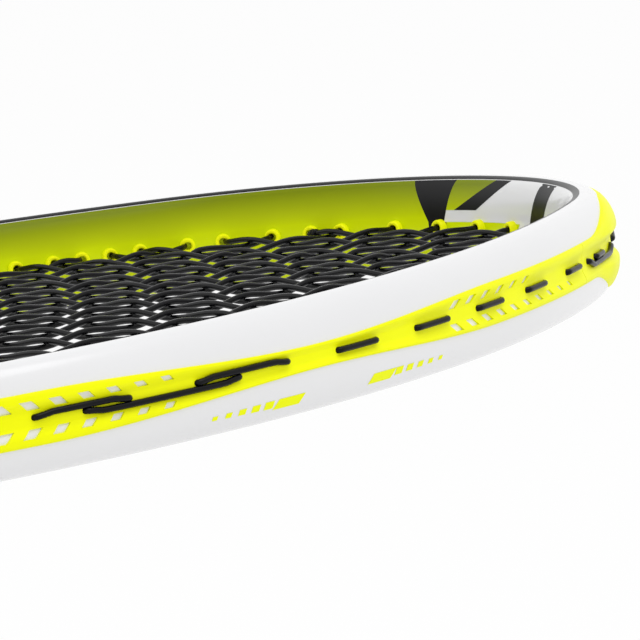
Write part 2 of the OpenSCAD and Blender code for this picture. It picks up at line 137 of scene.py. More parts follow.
def line(s):
    """Point and outward normal of the tube's centre line, about the head's centre."""
    s = np.asarray(s, float)
    left = s > s_tip
    q = np.where(left, 2 * s_tip - s, s)
    down = -side_len - q
    ang = np.where(q > side_len, phi + (q - side_len) / TIP_R, q / side_r)
    bend = math.pi - phi + (down - arm_l) / ARM_BEND_R
    on_tip = q > side_len
    on_run = (down > 0) & (down <= arm_l)
    on_bend = down > arm_l
    x = np.where(on_tip, TIP_R * np.cos(ang), side_cx + side_r * np.cos(ang))
    y = np.where(on_tip, tip_cy + TIP_R * np.sin(ang), side_r * np.sin(ang))
    nx, ny = np.cos(ang), np.sin(ang)
    x = np.where(on_run, joint_x - math.sin(phi) * down, x)
    y = np.where(on_run, joint_y - math.cos(phi) * down, y)
    nx = np.where(on_run, math.cos(phi), nx)
    ny = np.where(on_run, -math.sin(phi), ny)
    x = np.where(on_bend, arm_x + ARM_BEND_R * (1 + np.cos(bend)), x)
    y = np.where(on_bend, crotch_y + ARM_BEND_R * np.sin(bend), y)
    nx = np.where(on_bend, -np.cos(bend), nx)
    ny = np.where(on_bend, -np.sin(bend), ny)
    sign = np.where(left, -1.0, 1.0)
    return x * sign, y, nx * sign, ny


def place(s, u, z):
    """Points at s along the tube, u out from its centre line and z up, in the row frame."""
    s, u, z = np.broadcast_arrays(*(np.asarray(v, float) for v in (s, u, z)))
    x, y, nx, ny = line(s)
    return np.stack([x + nx * u, y + ny * u + head_cy, z], -1)


def bridge_place(a, u, z):
    """Points at angle a round the throat bridge's arc, u below its centre line."""
    a, u, z = np.broadcast_arrays(*(np.asarray(v, float) for v in (a, u, z)))
    r = TIP_R + u
    return np.stack([r * np.cos(a), -tip_cy - r * np.sin(a) + head_cy, z], -1)


def mirrored(points):
    return np.asarray(points, float) * [-1, 1, 1]


def edge_u(z):
    """Half width of the tube's section at height z."""
    return FRAME_W / 2 * np.maximum(0, 1 - (np.abs(z) / (BEAM_H / 2)) ** SECTION_E) ** (1 / SECTION_E)


def oval(w, h, n, e=SECTION_E):
    """Rounded section as n points (u, z), counterclockwise from +u."""
    a = np.linspace(0, 2 * math.pi, n, endpoint=False) + math.pi / n
    c, s = np.cos(a), np.sin(a)
    return np.stack([
        w / 2 * np.sign(c) * np.abs(c) ** (2 / e),
        h / 2 * np.sign(s) * np.abs(s) ** (2 / e),
    ], -1)


def strip_z(s):
    """Half height of the yellow strip and bumper along the side."""
    q = np.where(s > s_tip, 2 * s_tip - s, s)
    low, narrow_at = 2.15, 21.0
    towards_throat = (4.6 - low) * ease((narrow_at - q) / 62)
    towards_tip = (3.95 - low) * ease((q - narrow_at) / 56)
    foot = 1.5 * ease((-80 - q) / 40)
    wrap = (BUMPER_Z - 3.95) * ease((q - 130) / 26)
    return low + towards_throat + towards_tip - foot + wrap


def channel(s, z):
    """0 on the floor of the strings' channel and 1 on the strip's face beside it."""
    high = np.minimum(3.2, strip_z(s) - 0.1)
    low = 0.3 * high
    return ease((np.abs(z) - low) / (high - low))


def tube_u(s, z):
    """Outer face of the tube, with the shallow channel that the strip sits in."""
    q = np.where(s > s_tip, 2 * s_tip - s, s)
    depth = ease((q + side_len + 60) / 14)
    return edge_u(z) - depth * (1 - channel(s, z)) * (edge_u(z) - FLOOR_U + 0.35)


def cover_u(s, z):
    """Outer face of the strip, and of the bumper's two lobes near the tip."""
    q = np.where(s > s_tip, 2 * s_tip - s, s)
    height = strip_z(s)
    rim = np.clip((height - np.abs(z)) / 0.7, 0, 1)
    lip = 0.06 + (LIP - 0.06) * np.sqrt(1 - (1 - rim) ** 2)
    across = np.clip((np.abs(z) - 1.6) / (height - 1.6), 0, 1)
    lobe = (LOBE - LIP) * ease((q - 134) / 12) * np.sin(math.pi * across**0.62) ** 0.8
    face = edge_u(z) + lip + lobe
    return FLOOR_U + (face - FLOOR_U) * channel(s, z)


# --- Meshes --------------------------------------------------------------------------------------
def shown(name, verts, faces, material, slot=None, stands_for=(), sharp=35.0):
    """Adds a piece from millimetre points that rides on the racket."""
    mesh = bpy.data.meshes.new(name)
    mesh.from_pydata((np.asarray(verts, float) * MM).tolist(), [], faces)
    mesh.materials.append(material)
    mesh.shade_smooth()
    mesh.set_sharp_from_angle(angle=math.radians(sharp))
    piece = bpy.data.objects.new(name, mesh)
    bpy.context.scene.collection.objects.link(piece)
    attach(piece, "root")
    if stands_for:
        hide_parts(*stands_for)
    return piece


def loft(rings, cap_start=True, cap_end=True, closed=False):
    """Points and faces of a skin over rings of equal length; closed joins the last to the first."""
    rings = np.asarray(rings, float)
    n, m = rings.shape[:2]
    faces = []
    for i in range(n if closed else n - 1):
        a, b = i * m, (i + 1) % n * m
        faces += [(a + j, a + (j + 1) % m, b + (j + 1) % m, b + j) for j in range(m)]
    if not closed and cap_start:
        faces.append(tuple(range(m))[::-1])
    if not closed and cap_end:
        faces.append(tuple((n - 1) * m + j for j in range(m)))
    return rings.reshape(-1, 3), faces


def patch(grid):
    """Points and faces of an open sheet from a grid of points."""
    grid = np.asarray(grid, float)
    n, m = grid.shape[:2]
    faces = [
        (i * m + j, i * m + j + 1, (i + 1) * m + j + 1, (i + 1) * m + j)
        for i in range(n - 1)
        for j in range(m - 1)
    ]
    return grid.reshape(-1, 3), faces


def together(parts):
    """Joins (points, faces) pairs into one."""
    verts, faces, start = [], [], 0
    for v, f in parts:
        verts.append(np.asarray(v, float).reshape(-1, 3))
        faces += [tuple(i + start for i in face) for face in f]
        start += len(verts[-1])
    return np.concatenate(verts), faces


def turned(points_faces):
    """The same skin seen from the other side."""
    v, f = points_faces
    return v, [face[::-1] for face in f]


def mirror_part(points_faces):
    v, f = points_faces
    return mirrored(v), [face[::-1] for face in f]


def rounded_path(points, radius=1.1):
    """The path with its sharp corners turned into short curves."""
    p = np.asarray(points, float)
    out = [p[0]]
    for i in range(1, len(p) - 1):
        before, after = p[i - 1] - p[i], p[i + 1] - p[i]
        lb, la = np.linalg.norm(before), np.linalg.norm(after)
        if lb < 1e-6 or la < 1e-6:
            continue
        if np.dot(before, after) / (lb * la) < -0.93:
            out.append(p[i])
            continue
        a = p[i] + before / lb * min(radius, lb * 0.45)
        b = p[i] + after / la * min(radius, la * 0.45)
        for t in np.linspace(0, 1, 6):
            out.append((1 - t) ** 2 * a + 2 * t * (1 - t) * p[i] + t * t * b)
    out.append(p[-1])
    return np.array(out)


def tube(path, diameter, sides=10):
    """Points and faces of a round string along a path, with closed ends."""
    p = np.asarray(path, float)
    step = np.diff(p, axis=0)
    keep = np.r_[True, np.linalg.norm(step, axis=1) > 1e-5]
    p = p[keep]
    tangent = np.gradient(p, axis=0)
    tangent /= np.linalg.norm(tangent, axis=1)[:, None]
    normal = np.cross(tangent[0], [0, 0, 1.0])
    normal /= np.linalg.norm(normal)
    angles = np.linspace(0, 2 * math.pi, sides, endpoint=False)
    rings = []
    for point, direction in zip(p, tangent):
        normal = normal - direction * np.dot(normal, direction)
        normal /= np.linalg.norm(normal)
        other = np.cross(direction, normal)
        rings.append(point + diameter / 2 * (
            np.outer(np.cos(angles), normal) + np.outer(np.sin(angles), other)))
    return loft(rings)


# --- Materials -----------------------------------------------------------------------------------
def procedural(name, colour, rough, worn=None, scale=60.0, shift=0.05, bump=0.0, coat=0.0,
               stretch=(1, 1, 1), spread=0.06, wear=0.25, specular=0.5):
    """A surface whose colour, gloss and relief vary with noise, and whose edges wear paler."""
    mat = bpy.data.materials.new(name)
    mat.use_nodes = True
    tree = mat.node_tree
    nodes, links = tree.nodes, tree.links
    shader = nodes["Principled BSDF"]
    coords = nodes.new("ShaderNodeTexCoord")
    mapping = nodes.new("ShaderNodeMapping")
    mapping.inputs["Scale"].default_value = stretch
    noise = nodes.new("ShaderNodeTexNoise")
    noise.inputs["Scale"].default_value = scale
    noise.inputs["Detail"].default_value = 4.0
    links.new(coords.outputs["Object"], mapping.inputs["Vector"])
    links.new(mapping.outputs["Vector"], noise.inputs["Vector"])
    tone = nodes.new("ShaderNodeValToRGB")
    dark = [c * (1 - shift) for c in colour]
    tone.color_ramp.elements[0].position = 0.35
    tone.color_ramp.elements[0].color = (*dark, 1)
    tone.color_ramp.elements[1].position = 0.65
    tone.color_ramp.elements[1].color = (*colour, 1)
    links.new(noise.outputs["Fac"], tone.inputs["Fac"])
    edge = nodes.new("ShaderNodeNewGeometry")
    edges = nodes.new("ShaderNodeMapRange")
    edges.inputs["From Min"].default_value = 0.53
    edges.inputs["From Max"].default_value = 0.62
    edges.inputs["To Max"].default_value = wear
    links.new(edge.outputs["Pointiness"], edges.inputs["Value"])
    mix = nodes.new("ShaderNodeMix")
    mix.data_type = "RGBA"
    mix.inputs["B"].default_value = (*(worn or [min(1, c * 1.15 + 0.02) for c in colour]), 1)
    links.new(edges.outputs["Result"], mix.inputs["Factor"])
    links.new(tone.outputs["Color"], mix.inputs["A"])
    links.new(mix.outputs["Result"], shader.inputs["Base Color"])
    gloss = nodes.new("ShaderNodeMapRange")
    gloss.inputs["To Min"].default_value = max(0.02, rough - spread)
    gloss.inputs["To Max"].default_value = rough + spread
    links.new(noise.outputs["Fac"], gloss.inputs["Value"])
    links.new(gloss.outputs["Result"], shader.inputs["Roughness"])
    shader.inputs["Specular IOR Level"].default_value = specular
    if coat:
        shader.inputs["Coat Weight"].default_value = coat
        shader.inputs["Coat Roughness"].default_value = 0.08
    if bump:
        relief = nodes.new("ShaderNodeBump")
        relief.inputs["Strength"].default_value = bump
        relief.inputs["Distance"].default_value = 0.0003
        links.new(noise.outputs["Fac"], relief.inputs["Height"])
        links.new(relief.outputs["Normal"], shader.inputs["Normal"])
    return mat


def painted_shade_to_rim(mat, dark, low, high):
    """Painted shade: multiplies the colour down to a darker one between two heights in millimetres."""
    nodes, links = mat.node_tree.nodes, mat.node_tree.links
    shader = nodes["Principled BSDF"]
    before = shader.inputs["Base Color"].links[0].from_socket
    coords = nodes.new("ShaderNodeTexCoord")
    split = nodes.new("ShaderNodeSeparateXYZ")
    links.new(coords.outputs["Object"], split.inputs["Vector"])
    rise = nodes.new("ShaderNodeMapRange")
    rise.inputs["From Min"].default_value = low * MM
    rise.inputs["From Max"].default_value = high * MM
    links.new(split.outputs["Z"], rise.inputs["Value"])
    mix = nodes.new("ShaderNodeMix")
    mix.data_type = "RGBA"
    mix.inputs["B"].default_value = (*dark, 1)
    links.new(rise.outputs["Result"], mix.inputs["Factor"])
    links.new(before, mix.inputs["A"])
    links.new(mix.outputs["Result"], shader.inputs["Base Color"])


white_paint = procedural("white_lacquer", (0.82, 0.82, 0.83), 0.2, scale=18, shift=0.02, coat=0.3,
                         spread=0.04, worn=(0.86, 0.86, 0.86))
yellow_paint_with_shade = procedural("yellow_lacquer_with_painted_shade", (0.66, 0.78, 0.0), 0.3, scale=22, shift=0.05,
                          worn=(0.7, 0.8, 0.0), specular=0.12)
# painted shade: the yellow inner face grows darker olive towards its upper rim, from 2 mm to 8.5 mm up
painted_shade_to_rim(yellow_paint_with_shade, (0.2, 0.25, 0.0), 2.0, 8.5)
mark_yellow = procedural("yellow_marks", (0.93, 1.0, 0.0), 0.3, scale=22, shift=0.03,
                         worn=(0.95, 1.0, 0.0), specular=0.12)
# black lacquer for the inner face's colour blocks, also used for the painted shade lines along the
# inner edges
black_paint_and_edge_shade = procedural("black_lacquer_and_edge_shade", (0.008, 0.008, 0.009), 0.3, scale=22, shift=0.2,
                         specular=0.15)
yellow_nylon = procedural("yellow_nylon", (0.96, 1.0, 0.0), 0.42, scale=90, shift=0.03, bump=0.1,
                          worn=(1.0, 1.0, 0.02), wear=0.4, specular=0.12)
string_black = procedural("string_coating", (0.004, 0.004, 0.005), 0.22, scale=260, shift=0.4,
                          bump=0.1, worn=(0.01, 0.01, 0.01), specular=0.14)
grip_black = procedural("grip_polyurethane", (0.022, 0.022, 0.024), 0.62, scale=900, shift=0.35,
                        bump=0.5, worn=(0.06, 0.06, 0.065), wear=0.5)
cap_black = procedural("cap_elastomer", (0.02, 0.02, 0.022), 0.5, scale=400, shift=0.3, bump=0.25,
                       worn=(0.06, 0.06, 0.06), wear=0.5)
badge_black = procedural("badge_plastic", (0.035, 0.035, 0.038), 0.3, scale=300, shift=0.2,
                         bump=0.1, worn=(0.1, 0.1, 0.1))
tape_black = procedural("finishing_vinyl", (0.018, 0.018, 0.018), 0.35, scale=500, shift=0.2,
                        bump=0.2)
collar_black = procedural("collar_rubber", (0.014, 0.014, 0.015), 0.55, scale=700, shift=0.3,
                          bump=0.3, worn=(0.05, 0.05, 0.05), wear=0.5)
foam_grey = procedural("handle_foam", (0.14, 0.14, 0.15), 0.8, scale=700, shift=0.25, bump=0.6)
underlay_tape = procedural("underlay_tape", (0.72, 0.69, 0.6), 0.7, scale=500, shift=0.15, bump=0.3)
staple_steel = procedural("staple_steel", (0.56, 0.56, 0.58), 0.3, scale=600, shift=0.15, bump=0.1)
staple_steel.node_tree.nodes["Principled BSDF"].inputs["Metallic"].default_value = 1.0


# --- Frame ---------------------------------------------------------------------------------------
def frame_section():
    """Section of the tube: [u, z, is_outer], fine where the channel runs."""
    outer_top = np.radians(np.linspace(90, 12, 16))
    near = np.linspace(2.9, -2.9, 25)
    back = np.radians(np.linspace(-92, -268, 40))
    rows = []
    for a in outer_top:
        z = BEAM_H / 2 * math.sin(a) ** (2 / SECTION_E)
        rows.append((1, z))
    rows += [(1, z) for z in near]
    for a in outer_top[::-1]:
        rows.append((1, -BEAM_H / 2 * math.sin(a) ** (2 / SECTION_E)))
    for a in back:
        z = BEAM_H / 2 * np.sign(math.sin(a)) * abs(math.sin(a)) ** (2 / SECTION_E)
        rows.append((-1, z))
    return np.array(rows)


def tube_rings(stations, narrow=1.0):
    section = frame_section()
    side, z = section[:, 0], section[:, 1]
    rings = []
    for s in stations:
        u = np.where(side > 0, tube_u(np.full(len(z), s), z), -edge_u(z))
        rings.append(place(s, u, z))
    return rings


def stations(start, end, step):
    return np.linspace(start, end, max(2, int(round(abs(end - start) / step)) + 1))


def build_frame():
    over = 2 * s_tip + side_len
    hoop = loft(tube_rings(stations(-side_len, over, 2.0)))
    shown("hoop_moulding", *hoop, white_paint, "frame_paint", ["frame_hoop"])
    arm = loft(tube_rings(stations(s_foot, -side_len + 0.01, 2.0)))
    shown("throat_arm_right_skin", *arm, white_paint, "frame_paint", ["throat_arm_right"])
    shown("throat_arm_left_skin", *mirror_part(arm), white_paint, "frame_paint",
          ["throat_arm_left"])
    build_bridge()
    build_shaft()


def build_bridge():
    """The bridge's arc swells where it runs into the arms."""
    rings = []
    start, end = phi - 0.02, math.pi - phi + 0.02
    for a in np.linspace(start, end, 80):
        from_end = min(a - start, end - a) * TIP_R
        swell = 1 - ease(from_end / 13)
        section = oval(BRIDGE_W + 0.8 * swell, BRIDGE_H + 4.2 * swell, 48)
        rings.append(bridge_place(a, section[:, 0], section[:, 1]))
    shown("bridge_skin", *loft(rings), white_paint, "frame_paint", ["throat_bridge"])


def build_shaft():
    """The shaft widens a little into the two arms and ends in a hollow web between them."""
    top = head_cy + crotch_y
    foot = shaft_low[1]
    web = 7.0
    rings = []
    for y in np.concatenate([[foot], np.linspace(foot + 60, top - 22, 10),
                             np.linspace(top - 20, top + web, 16)]):
        grow = ease((y - (top - 22)) / 24)
        section = oval(SHAFT_W + 0.5 * grow, SHAFT_H + (BEAM_H - SHAFT_H + 0.16) * grow, 64)
        rings.append(np.stack([section[:, 0], np.full(64, y), section[:, 1]], -1))
    rings = np.array(rings)
    last = rings[-1]
    for k in range(1, 9):
        shrink = 1 - k / 9
        ring = last * [shrink, 1, shrink]
        spread = ring[:, 0] / (SHAFT_W / 2)
        ring[:, 1] = top + web - 9 * (1 - np.minimum(1, np.abs(spread)) ** 2) * ease(k / 3)
        rings = np.concatenate([rings, ring[None]])
    shown("shaft_skin", *turned(loft(rings)), white_paint, "frame_paint", ["shaft_tube"])


# --- Paint layers and painted shade --------------------------------------------------------------
PAINT = 0.04


def inner_patch(left, right, z_low, z_high, columns=None):
    """A paint layer on the head's inner face. left and right give its ends, as lengths from the
    middle of the left side over the tip, at a height."""
    zs = np.linspace(z_low, z_high, 25)
    span = right(z_high) - left(z_high)
    columns = columns or max(3, int(abs(span) / 3))
    t = np.linspace(0, 1, columns)
    grid = []
    for z in zs:
        s = left(z) + (right(z) - left(z)) * t
        grid.append(mirrored(place(s, -edge_u(z) - PAINT, z)))
    return patch(grid)


def build_inner_paint():
    """Yellow inner face on the left side, with the colour blocks that meet at the tip."""
    full = 9.3
    block_left = lambda z: 201.5 + (9.1 - z) * 0.5
    block_right = lambda z: 212.8 - (9.2 - z) * 0.35
    wedge_right = lambda z: 224.8 - (9.1 - z) * 2.05
    stroke_right = lambda z: 230.2 - (9.1 - z) * 1.8
    yellow = [
        inner_patch(lambda z: -side_len + 6, block_left, 1.0, full),
        inner_patch(lambda z: -side_len + 6, lambda z: 205.5 + 0 * z, -full, 1.0),
        inner_patch(lambda z: 210.6 + 0 * z, lambda z: 236 + (z - 1) * 0.8, -full, 1.0),
        inner_patch(block_right, wedge_right, 3.4, full),
    ]
    black = [
        inner_patch(block_left, block_right, 1.0, full),
        inner_patch(lambda z: 205.5 + 0 * z, lambda z: 210.6 + 0 * z, -full, 1.0),
        inner_patch(wedge_right, stroke_right, 3.4, full),
        inner_patch(lambda z: 244.2 - (8.9 - z) * 0.45, lambda z: 252.5 - (9 - z) * 0.65, -full, full),
    ]
    # the yellow layer's material carries painted shade, darker towards the upper rim
    shown("inner_paint_yellow_with_painted_shade", *together(yellow), yellow_paint_with_shade)
    shown("inner_paint_black", *together(black), black_paint_and_edge_shade)


def build_edge_shade_lines():
    """Painted shade: thin dark lines where the inner face begins, along the upper and the lower edge.
    """
    parts = []
    s = stations(-side_len + 6, 2 * s_tip + side_len - 6, 2.0)
    for sign in (1, -1):
        grid = []
        for a in np.radians(np.linspace(95.6, 111.6, 7)):
            z = BEAM_H / 2 * math.sin(a) ** (2 / SECTION_E)
            grid.append(place(s, -edge_u(z) - PAINT / 2, sign * (z + PAINT / 2)))
        parts.append(patch(grid) if sign < 0 else turned(patch(grid)))
    # painted shade: dark lines standing in for the shade where the surface turns onto the inner face
    shown("inner_edge_painted_shade", *together(parts), black_paint_and_edge_shade)


def dash(centre, length, height, z, lean):
    """A slanted mark on the outer face."""
    zs = np.linspace(-height / 2, height / 2, 5)
    t = np.linspace(-length / 2, length / 2, 6)
    return patch([place(centre + t + lean * dz, edge_u(z + dz) + PAINT, z + dz) for dz in zs])


def build_dashes():
    """Marks on the lower outer face of the right side: short ones that grow into a long one,
    a bare place, and the same the other way round."""
    marks_z = -6.6
    lean = 0.9
    parts = []
    for k in range(5):
        size = 1.2 + 0.25 * k
        parts.append(dash(-5.2 + 3.2 * k, size, 0.6 * size, marks_z, lean * 0.4))
        parts.append(dash(56.0 - 3.3 * k, size, 0.6 * size, marks_z, lean * 0.4))
    parts.append(dash(12.6, 6.6, 1.7, marks_z - 0.15, lean))
    parts.append(dash(37.8, 6.6, 1.7, marks_z - 0.15, lean))
    shown("dash_marks", *together(parts), mark_yellow)


# --- Grommets and bumper -------------------------------------------------------------------------
def cover_rings(points_s, taper_start=False, taper_end=False):
    """Closed rings of the strip or bumper: outer face, then its underside sunk in the tube."""
    across = np.concatenate([
        -1 + 0.12 * (1 - np.cos(np.linspace(0, math.pi / 2, 5)[:-1])) ,
        np.linspace(-0.88, 0.88, 47),
        1 - 0.12 * (1 - np.cos(np.linspace(0, math.pi / 2, 5)[:-1]))[::-1],
    ])
    rings = []
    for s in points_s:
        z = across * float(strip_z(np.asarray(s)))
        ss = np.full(len(z), s)
        outer = cover_u(ss, z)
        under = np.minimum(tube_u(ss, z), outer - 0.1) - 0.35
        rings.append(np.concatenate([place(s, outer, z), place(s, under, z)[::-1]]))
    return rings


def window_prism(s0, z0, length, height, lean):
    """A slanted prism through the strip's face, which cuts one window."""
    corners = []
    for u in (FLOOR_U - 1.2, FRAME_W / 2 + 3):
        for ds, dz in ((-1, -1), (1, -1), (1, 1), (-1, 1)):
            z = z0 + dz * height / 2
            corners.append(place(s0 + ds * length / 2 + lean * dz * height / 2, u, z))
    faces = [(3, 2, 1, 0), (4, 5, 6, 7), (1, 5, 4, 0), (2, 6, 5, 1), (3, 7, 6, 2), (0, 4, 7, 3)]
    return np.array(corners), faces


def side_windows():
    """Two rows of slanted windows in each wide part. Both rows lean to the strip's narrow middle
    and grow smaller towards it on the throat's side, and towards the tip on the other."""
    prisms = []
    for k in range(13):
        size = 1 - 0.45 * ease((k - 5) / 7)
        for sign in (1, -1):
            prisms.append(window_prism(
                -82.6 + 5.62 * k, sign * (2.45 - 0.2 * (1 - size)), 2.7 * (0.55 + 0.45 * size),
                1.75 * size, -sign * 1.1))
    for k in range(10):
        size = 1 - 0.35 * k / 9
        for sign in (1, -1):
            if sign < 0 or k < 6:
                prisms.append(window_prism(
                    61.5 + 5.62 * k, sign * 2.1, 2.5 * size, 1.45 * size, sign * 1.0))
    return together(prisms)


def cut(piece, cutter):
    """Cuts one mesh out of another for good."""
    modifier = piece.modifiers.new("windows", "BOOLEAN")
    modifier.operation = "DIFFERENCE"
    modifier.solver = "EXACT"
    modifier.object = cutter
    graph = bpy.context.evaluated_depsgraph_get()
    solid = bpy.data.meshes.new_from_object(piece.evaluated_get(graph))
    piece.modifiers.clear()
    piece.data = solid
    solid.shade_smooth()
    solid.set_sharp_from_angle(angle=math.radians(35))
    bpy.data.objects.remove(cutter)


def build_strips():
    arm_end = -side_len - 24.0
    strip = turned(loft(cover_rings(stations(arm_end, 122.0, 1.6))))
    windows = side_windows()
    for name, shape, cutter in (
        ("right", strip, windows),
        ("left", mirror_part(strip), mirror_part(windows)),
    ):
        piece = shown(f"side_strip_{name}", *shape, yellow_nylon, "grommet_yellow",
                      [f"grommet_strip_{name}"])
        mesh = bpy.data.meshes.new("cutter")
        mesh.from_pydata((cutter[0] * MM).tolist(), [], cutter[1])
        knife = bpy.data.objects.new("cutter", mesh)
        bpy.context.scene.collection.objects.link(knife)
        cut(piece, knife)
    bumper = turned(loft(cover_rings(stations(122.15, 2 * s_tip - 122.15, 1.3))))
    shown("tip_bumper", *bumper, yellow_nylon, "grommet_yellow", ["bumper_guard"])
    rings = []
    half = 3.0
    for a in np.linspace(math.acos(MAIN_X[2] / (TIP_R - MOUTH)) - 0.04,
                         math.pi - math.acos(MAIN_X[2] / (TIP_R - MOUTH)) + 0.04, 40):
        section = oval(1.6, 2 * half, 24)
        u = np.minimum(BRIDGE_W / 2 + 0.8, BRIDGE_W / 2 + section[:, 0])
        rings.append(bridge_place(a, u, section[:, 1]))
    shown("throat_strip", *loft(rings), yellow_nylon, "grommet_yellow", ["grommet_strip_throat"])


# --- String holes --------------------------------------------------------------------------------
class Hole:
    """A string's hole. at(u) is its centre line's point at u from the tube's centre line."""

    def __init__(self, kind, where, mouth=-MOUTH):
        self.kind, self.where, self.mouth_u = kind, where, mouth

    def at(self, u, z=0.0):
        make = bridge_place if self.kind == "bridge" else place
        return make(self.where, u, z)

    @property
    def mouth(self):
        return self.at(self.mouth_u)


inner_r = TIP_R - MOUTH
mouth_x = inner_r * math.cos(phi)
mouth_y = (side_r - MOUTH) * math.sin(phi)


def side_hole(a):
    return Hole("rim", side_r * a)


def tip_hole(a):
    return Hole("rim", side_len + TIP_R * (a - phi))


def arm_hole(a):
    return Hole("rim", -side_len - inner_r * math.sin(a - phi), inner_r * math.cos(a - phi) - TIP_R)


def main_angle(x):
    return math.acos((x - side_cx) / (side_r - MOUTH)) if x > mouth_x else math.acos(x / inner_r)


def main_tip(i):
    x = MAIN_X[i]
    return side_hole(main_angle(x)) if x > mouth_x else tip_hole(main_angle(x))


def main_foot(i):
    x = MAIN_X[i]
    if x > mouth_x:
        return side_hole(-main_angle(x))
    if i < BRIDGE_MAINS:
        return Hole("bridge", main_angle(x))
    return arm_hole(main_angle(x))


def cross_hole(k):
    y = CROSS_Y[k]
    if abs(y) <= mouth_y:
        return side_hole(math.asin(y / (side_r - MOUTH)))
    if y > 0:
        return tip_hole(math.asin((y - tip_cy) / inner_r))
    return arm_hole(math.asin((-y - tip_cy) / inner_r))


def build_barrels():
    """The grommets' short tubes that stand out of the inner face round each string."""
    right = [cross_hole(k) for k in range(cross_n)]
    right += [main_tip(i) for i in range(main_n)]
    right += [main_foot(i) for i in range(main_n)]
    profile = [(0.78, 0.55), (0.86, 0.12), (1.05, 0.0), (1.38, 0.02), (1.55, 0.22), (1.6, 0.6),
               (1.6, 3.6), (0.78, 3.6)]
    angles = np.linspace(0, 2 * math.pi, 16, endpoint=False)
    parts = []
    for hole in right:
        start = hole.mouth
        out = hole.at(hole.mouth_u + 1.0) - start
        out /= np.linalg.norm(out)
        across = np.cross([0, 0, 1.0], out)
        rings = [
            start + out * depth + r * (np.outer(np.cos(angles), across)
                                       + np.outer(np.sin(angles), [0, 0, 1.0]))
            for r, depth in profile
        ]
        parts.append(loft(rings, closed=True))
    stubs = together(parts)
    shown("barrels_right", *stubs, yellow_nylon, "grommet_yellow")
    shown("barrels_left", *mirror_part(stubs), yellow_nylon, "grommet_yellow")


# --- Strings -------------------------------------------------------------------------------------
def over(i, side, k):
    """Whether main i of a side passes over cross k, as 1 or -1."""
    column = main_n + i if side > 0 else main_n - 1 - i
    return 1 if (column + k) % 2 == 0 else -1


def woven(knots, samples=6):
    """Distances and heights between crossing places (distance, height) in soft waves."""
    out = [knots[0]]
    for (x0, z0), (x1, z1) in zip(knots, knots[1:]):
        for t in np.arange(1, samples + 1) / samples:
            out.append((x0 + (x1 - x0) * t, z0 + (z1 - z0) * (0.5 - 0.5 * math.cos(math.pi * t))))
    return out


def main_run(i, side):
    """Points of a main from its foot hole's mouth to its tip hole's."""
    x = MAIN_X[i]
    foot, tip = main_foot(i).mouth[1], main_tip(i).mouth[1]
    met = [k for k in range(cross_n) if cross_hole(k).mouth[0] > x + 1.1]
    knots = [(foot, 0.0)] + [(CROSS_Y[k] + head_cy, AMP * over(i, side, k)) for k in met]
    return [(side * x, y, z) for y, z in woven(knots + [(tip, 0.0)])]


def cross_run(k):
    """Points of a cross from its left hole's mouth to its right one's."""
    end = cross_hole(k).mouth[0]
    met = [i for i in range(main_n) if MAIN_X[i] + 1.1 < end]
    knots = [(-end, 0.0)]
    knots += [(-MAIN_X[i], -AMP * over(i, -1, k)) for i in reversed(met)]
    knots += [(MAIN_X[i], -AMP * over(i, 1, k)) for i in met]
    y = CROSS_Y[k] + head_cy
    return [(x, y, z) for x, z in woven(knots + [(end, 0.0)])]


def outside(g, h, lift=0.0, start=0.0):
    """Points of the loop between two holes: out through one, along the tube, in through the other.
    lift moves the loop up or down beside its neighbours, start does so at the holes."""
    bridge = g.kind == "bridge"
    u = BRIDGE_STRING_U if bridge else STRING_U
    length = abs(h.where - g.where) * (TIP_R + u if bridge else 1.0)
    t = np.linspace(0, 1, max(6, int(length / 1.5)))
    along = g.where + (h.where - g.where) * t
    near = np.minimum(t, 1 - t) * length
    z = start + (lift - start) * ease(near / 4.0)
    make = bridge_place if bridge else place
    run = make(along, u, z)
    return [g.at(g.mouth_u), g.at(-1.0, start * 0.6), *run, h.at(-1.0, start * 0.6), h.at(h.mouth_u)]


def covers(j, k):
    """Whether the loop between two crosses passes over a main's hole."""
    low, high = CROSS_Y[j], CROSS_Y[k]
    for i in range(main_n):
        ends = [main_foot(i).mouth[1] - head_cy]
        if i < main_n - 1:
            ends.append(main_tip(i).mouth[1] - head_cy)
        if any(low < y < high for y in ends):
            return True
    return False


def knot(mouth, towards):
    """Two turns of string round the end of a string, just inside its grommet."""
    t = np.linspace(0, 1, 40)
    angle = 4 * math.pi * t
    towards = np.array(towards, float)
    across = np.cross(towards, [0, 0, 1.0])
    centre = np.array(mouth) + np.outer(1.0 + 1.6 * t, towards)
    ring = 0.62 * (np.outer(np.cos(angle), across) + np.outer(np.sin(angle), [0, 0, 1.0]))
    return tube(centre + ring, 1.0)


def build_cross_string():
    right, left = {}, {}
    long_ends = {k for first, last, _ in LONG_LOOPS for k in (first, last)}
    for k in range(0, cross_n - 1, 2):
        if k not in long_ends:
            right[k] = right[k + 1] = (k, k + 1, 1.16 if covers(k, k + 1) else 0.0, 0.0)
    for first, last, side in LONG_LOOPS:
        right[first] = right[last] = (first, last, 0.78 * side, 0.3 * side)
    for k in range(1, cross_n - 2, 2):
        left[k] = left[k + 1] = (k, k + 1, 1.16 if covers(k, k + 1) else 0.0, 0.0)
    path, k, rightwards = [], 0, True
    for _ in range(cross_n):
        run = cross_run(k)
        path += run if rightwards else run[::-1]
        link = (right if rightwards else left).get(k)
        if link is None:
            break
        other = link[1] if link[0] == k else link[0]
        loop = outside(cross_hole(k), cross_hole(other), link[2], link[3])
        path += [tuple(p) for p in (loop if rightwards else mirrored(loop))]
        k, rightwards = other, not rightwards
    parts = [tube(rounded_path(path), STRING_D)]
    for k in (0, cross_n - 1):
        parts.append(knot(mirrored(cross_hole(k).mouth), (1, 0, 0)))
    shown("crosses", *together(parts), string_black, "string_black", ["cross_string"], sharp=80)


